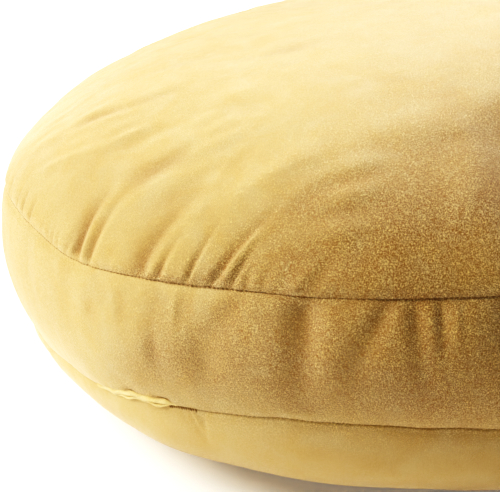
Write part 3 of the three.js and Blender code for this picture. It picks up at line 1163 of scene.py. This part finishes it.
def add_camera():
    data = bpy.data.cameras.new("photo_camera")
    data.sensor_fit = "HORIZONTAL"
    data.sensor_width = 36.0
    data.lens = CAMERA_LENS
    data.clip_start = 0.02
    data.clip_end = 60.0
    camera = bpy.data.objects.new("photo_camera", data)
    bpy.context.scene.collection.objects.link(camera)
    place = Matrix.Translation(Vector(CAMERA_PLACE) * MM)
    turned = Matrix.Rotation(math.radians(CAMERA_TURN), 4, "Z")
    tipped = Matrix.Rotation(math.radians(90.0 - CAMERA_TIP), 4, "X")
    rolled = Matrix.Rotation(math.radians(CAMERA_ROLL), 4, "Z")
    camera.matrix_world = place @ turned @ tipped @ rolled
    bpy.context.scene.camera = camera


def add_floor():
    ways = ((-1, -1), (1, -1), (1, 1), (-1, 1))
    corners = [(x * FLOOR_HALF, y * FLOOR_HALF, -FLOOR_DROP) for x, y in ways]
    mesh = plain_mesh("floor", corners, [(0, 1, 2, 3)], False)
    new_piece("floor", mesh, floor_material())


# Name, azimuth, elevation, power in W, colour
LIGHTS = (
    ("back_light", 75.0, 40.0, 152.0, (1.0, 1.0, 1.0)),
    ("side_window", 180.0, 40.0, 147.0, (1.0, 0.965, 0.88)),
    ("overhead", 0.0, 84.0, 12.0, (1.0, 1.0, 1.0)),
)
LIGHT_DISTANCE = 3.0
LIGHT_SIZE = 1.8
WORLD_STRENGTH = 0.01

# The camera's tone curve: how steep it starts, the brightness at which it bends over, and its points
TONE_STEEP = 1.6
TONE_BEND = 0.48
TONE_POINTS = (0.03, 0.08, 0.15, 0.24, 0.35, 0.48, 0.62, 0.80)


def set_tone_curve():
    """A plain photographic tone curve, the same for red, green and blue, with white kept white."""
    view = bpy.context.scene.view_settings
    view.view_transform = "Standard"
    view.look = "None"
    view.use_curve_mapping = True
    mapping = view.curve_mapping
    mapping.tone = "STANDARD"
    points = mapping.curves[3].points
    bend = TONE_BEND**TONE_STEEP
    for x in TONE_POINTS:
        steep = x**TONE_STEEP
        points.new(x, steep * (1.0 + bend) / (steep + bend))
    mapping.update()


def add_lights():
    for name, azimuth, elevation, power, color in LIGHTS:
        data = bpy.data.lights.new(name, "AREA")
        data.shape = "DISK"
        data.size = LIGHT_SIZE
        data.energy = power
        data.color = color
        light = bpy.data.objects.new(name, data)
        bpy.context.scene.collection.objects.link(light)
        around = math.radians(azimuth)
        up = math.radians(elevation)
        flat = math.cos(up)
        way = Vector((flat * math.cos(around), flat * math.sin(around), math.sin(up)))
        aimed = way.to_track_quat("Z", "Y").to_matrix().to_4x4()
        light.matrix_world = Matrix.Translation(way * LIGHT_DISTANCE) @ aimed
    world = bpy.data.worlds.new("studio")
    bpy.context.scene.world = world
    world.use_nodes = True
    sky = world.node_tree.nodes["Background"].inputs
    sky["Color"].default_value = (1.0, 1.0, 1.0, 1.0)
    sky["Strength"].default_value = WORLD_STRENGTH


# Stitches

# Pitch of the seams' stitches, and along, across, height and slant of one stitch
SEAM_PITCH = 2.57
UPPER_STITCH = (1.5, 0.75, 0.5, 0.12)
LOWER_STITCH = (1.3, 0.6, 0.5, 0.12)
HAND_PITCH = 1.5
HAND_STITCH = (0.85, 3.0, 0.5, 0.3)

# A seam's path runs between the rows this far from it on either side, sunk inwards by the second number
UPPER_PATH = (0.95, 0.3)
LOWER_PATH = (0.95, 0.9)
HAND_PATH = (0.95, -0.1)

# Rows on either side of one seam are fewer than this apart in the list of rows
SAME_SEAM = 16

# Azimuths between which the lower seam is closed with short, dense stitches
HAND_STITCHES = (240.2, 244.3)


def seam_path(rows, points, panel, path):
    """The line midway between the rows on either side of a seam, in metres, sunk a little inwards."""
    mark, sink = path
    marked = [i for i, row in enumerate(rows) if mark in (row.from_upper, row.from_lower)]
    beside = [i for i in marked if rows[i].panel == panel]
    other = [i for i in marked if rows[i].panel == "band"]
    i, j = [(i, j) for i in beside for j in other if abs(i - j) < SAME_SEAM][0]
    line = 0.5 * (points[i] + points[j])
    flat = line - np.array(OUTLINE_SHIFT)
    flat[:, 2] = 0.0
    flat /= np.linalg.norm(flat, axis=1, keepdims=True)
    return (line - sink * flat) * MM


def path_piece(name, points, closed):
    count = len(points)
    last = count if closed else count - 1
    edges = [(i, (i + 1) % count) for i in range(last)]
    mesh = bpy.data.meshes.new(name)
    mesh.from_pydata([tuple(p) for p in points], edges, [])
    piece = bpy.data.objects.new(name, mesh)
    bpy.context.scene.collection.objects.link(piece)
    return piece


def stitch_tree():
    """Stitches set out along a path, one every pitch, each a small rounded bar of thread."""
    group = bpy.data.node_groups.new("seam_stitches", "GeometryNodeTree")
    face = group.interface
    face.new_socket(name="Geometry", in_out="INPUT", socket_type="NodeSocketGeometry")
    for name in ("Pitch", "Along", "Across", "Height", "Slant"):
        face.new_socket(name=name, in_out="INPUT", socket_type="NodeSocketFloat")
    face.new_socket(name="Thread", in_out="INPUT", socket_type="NodeSocketMaterial")
    face.new_socket(name="Geometry", in_out="OUTPUT", socket_type="NodeSocketGeometry")
    tree = Tree(group.nodes, group.links)
    given = group.nodes.new("NodeGroupInput")
    take = {socket.name: Wire(tree, socket) for socket in given.outputs if socket.name}
    curve = tree.wire("GeometryNodeMeshToCurve", {}, {"Mesh": take["Geometry"]})
    points = tree.wire(
        "GeometryNodeResampleCurve", {"mode": "LENGTH"}, {"Curve": curve, "Length": take["Pitch"]}
    )
    place = tree.wire("GeometryNodeInputPosition", {}, {})
    flat = tree.wire("ShaderNodeVectorMath", {"operation": "MULTIPLY"}, {0: place, 1: (1.0, 1.0, 0.0)})
    along = tree.wire("GeometryNodeInputTangent", {}, {})
    facing = tree.wire("FunctionNodeAlignRotationToVector", {"axis": "Z"}, {"Vector": flat})
    lined = tree.wire(
        "FunctionNodeAlignRotationToVector",
        {"axis": "X", "pivot_axis": "Z"},
        {"Rotation": facing, "Vector": along},
    )
    jitter = tree.wire(
        "FunctionNodeRandomValue", {"data_type": "FLOAT"}, {2: -0.22, 3: 0.22, "Seed": 4}, 1
    )
    slant = tree.wire("ShaderNodeCombineXYZ", {}, {"Z": take["Slant"] + jitter})
    turned = tree.wire(
        "FunctionNodeRotateRotation", {"rotation_space": "LOCAL"}, {"Rotation": lined, "Rotate By": slant}
    )
    bead = tree.wire("GeometryNodeMeshUVSphere", {}, {"Segments": 8, "Rings": 6, "Radius": 0.5})
    size = tree.wire(
        "ShaderNodeCombineXYZ", {}, {"X": take["Along"], "Y": take["Across"], "Z": take["Height"]}
    )
    uneven = tree.wire(
        "FunctionNodeRandomValue", {"data_type": "FLOAT"}, {2: 0.82, 3: 1.15, "Seed": 9}, 1
    )
    scaled = tree.wire("ShaderNodeVectorMath", {"operation": "SCALE"}, {0: size, "Scale": uneven})
    set_out = tree.wire(
        "GeometryNodeInstanceOnPoints",
        {},
        {"Points": points, "Instance": bead, "Rotation": turned, "Scale": scaled},
    )
    real = tree.wire("GeometryNodeRealizeInstances", {}, {"Geometry": set_out})
    soft = tree.wire("GeometryNodeSetShadeSmooth", {}, {"Geometry": real})
    dressed = tree.wire("GeometryNodeSetMaterial", {}, {"Geometry": soft, "Material": take["Thread"]})
    result = group.nodes.new("NodeGroupOutput")
    group.links.new(dressed.socket, result.inputs[0])
    return group


def run_tree(piece, group, values, material):
    """Sets a tree's inputs by their identifiers, then makes its result the piece's plain mesh."""
    modifier = piece.modifiers.new("make", "NODES")
    modifier.node_group = group
    for item in group.interface.items_tree:
        if item.in_out == "INPUT" and item.name in values:
            modifier[item.identifier] = values[item.name]
    bpy.context.view_layer.update()
    depsgraph = bpy.context.evaluated_depsgraph_get()
    mesh = bpy.data.meshes.new_from_object(piece.evaluated_get(depsgraph))
    piece.modifiers.remove(modifier)
    mesh.name = piece.name
    piece.data = mesh
    mesh.materials.clear()
    mesh.materials.append(material)
    return piece


def sew(name, path, closed, pitch, stitch, group, thread):
    along, across, height, slant = stitch
    sizes = {
        "Pitch": pitch * MM,
        "Along": along * MM,
        "Across": across * MM,
        "Height": height * MM,
        "Slant": slant,
        "Thread": thread,
    }
    return run_tree(path_piece(name, path, closed), group, sizes, thread)


def build_stitches(rows, points, thread):
    group = stitch_tree()
    upper = seam_path(rows, points, "crown", UPPER_PATH)
    lower = seam_path(rows, points, "underside", LOWER_PATH)
    azimuth = column_azimuths()
    by_hand = (azimuth > HAND_STITCHES[0]) & (azimuth < HAND_STITCHES[1])
    closure = seam_path(rows, points, "underside", HAND_PATH)[by_hand]
    return [
        sew("upper_stitches", upper, True, SEAM_PITCH, UPPER_STITCH, group, thread),
        sew("lower_stitches", lower, True, SEAM_PITCH, LOWER_STITCH, group, thread),
        sew("hand_stitches", closure, False, HAND_PITCH, HAND_STITCH, group, thread),
    ]


# The edge closed by hand

CLOSURE_START = 228.2
CLOSURE_END = 241.9

# How far the folds sit in from the lower seam's radius, steps along them and points round them,
# and how much the hairs show on them
CLOSURE_SINK = 0.7
CLOSURE_STEPS = 150
CLOSURE_AROUND = 18
CLOSURE_GRAIN = 0.3

# Height and thickness of each fold, how much it swells at a bulge, and how both wander up and down:
# rate, start and height
UPPER_FOLD = (3.3, 2.3)
LOWER_FOLD = (1.3, 1.2)
FOLD_BULGE = 0.9
FOLD_WANDER = ((15.0, 0.0, 0.45), (34.0, 1.0, 0.3))

# Two small openings between the folded edges: share of the length, half length, height of the gap
OPENINGS = ((0.49, 0.035, 0.75), (0.81, 0.055, 0.6))
# Where the lower fold bulges out below the openings: share of the length, half length
BULGES = ((0.49, 0.11), (0.81, 0.085))


def hump(share, middle, half):
    return math.exp(-(((share - middle) / half) ** 2))


def fold_ring(share, sign):
    """Middle height, tallness and thickness of the upper (sign 1) or lower (sign -1) fold."""
    ends = float(smooth(0.35 + share * 12.0) * smooth((1.0 - share) * 9.0))
    bulge = sum(hump(share, middle, half) for middle, half in BULGES)
    gap = sum(lift * hump(share, middle, half) for middle, half, lift in OPENINGS)
    wander = sum(lift * math.sin(share * rate + start) for rate, start, lift in FOLD_WANDER)
    tall_ends = 0.4 + 0.6 * ends
    thick_ends = 0.3 + 0.7 * ends
    if sign > 0:
        tall = UPPER_FOLD[0] * tall_ends * (1.0 + 0.1 * math.sin(share * 38.0))
        thick = UPPER_FOLD[1] * thick_ends * (1.0 + 0.12 * math.sin(share * 27.0))
        return wander + 0.5 * tall - 0.5 + 0.5 * gap, tall, thick
    tall = (LOWER_FOLD[0] + FOLD_BULGE * bulge) * tall_ends
    thick = (LOWER_FOLD[1] + FOLD_BULGE * bulge) * thick_ends
    return wander - 0.5 * tall - 0.1 - 0.5 * gap, tall, thick


def fold_vertices(sign):
    points = []
    for i in range(CLOSURE_STEPS + 1):
        share = i / CLOSURE_STEPS
        azimuth = CLOSURE_START + (CLOSURE_END - CLOSURE_START) * share
        middle, tall, thick = fold_ring(share, sign)
        hem = float(skin_line(HEM, azimuth) + swell(azimuth, 2)) - CLOSURE_SINK
        height = float(skin_line(LOWER, azimuth)) + middle
        a = math.radians(azimuth)
        for j in range(CLOSURE_AROUND):
            angle = 2.0 * math.pi * j / CLOSURE_AROUND
            out = hem + thick * (0.4 + 0.6 * math.cos(angle))
            points.append((out * math.cos(a), out * math.sin(a), height + 0.5 * tall * math.sin(angle)))
    return points


def tube_faces(first):
    faces = []
    around = CLOSURE_AROUND
    for i in range(CLOSURE_STEPS):
        ring = first + i * around
        for j in range(around):
            k = (j + 1) % around
            faces.append((ring + j, ring + around + j, ring + around + k, ring + k))
    faces.append(tuple(first + j for j in range(around)))
    faces.append(tuple(first + CLOSURE_STEPS * around + j for j in reversed(range(around))))
    return faces


def build_closure(material):
    """The folded edges of the band and the bottom panel, sewn shut by hand along the lower seam."""
    vertices = fold_vertices(1.0)
    faces = tube_faces(0) + tube_faces(len(vertices))
    vertices += fold_vertices(-1.0)
    points = (np.array(vertices) + np.array(OUTLINE_SHIFT)) * MM
    mesh = plain_mesh("closure_folds", points, faces)
    store(mesh, "crease", np.zeros(len(mesh.vertices)))
    store(mesh, "grain", np.full(len(mesh.vertices), CLOSURE_GRAIN))
    return new_piece("closure_folds", mesh, material)


def main():
    add_camera()
    add_floor()
    add_lights()
    set_tone_curve()
    suede_cloth = suede("mustard_suede", SUEDE_WARM, SUEDE_PALE, SUEDE_TONE)
    fold_cloth = suede("folded_suede", FOLD_WARM, FOLD_PALE, FOLD_TONE)
    thread = thread_material()
    rows, points, crease, grain = skin_grid()
    skin = build_skin(rows, points, crease, grain, suede_cloth)
    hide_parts("cushion")
    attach(skin, "root")
    closure = build_closure(fold_cloth)
    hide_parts("closure_edge")
    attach(closure, "root")
    for piece in build_stitches(rows, points, thread):
        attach(piece, "root")


main()
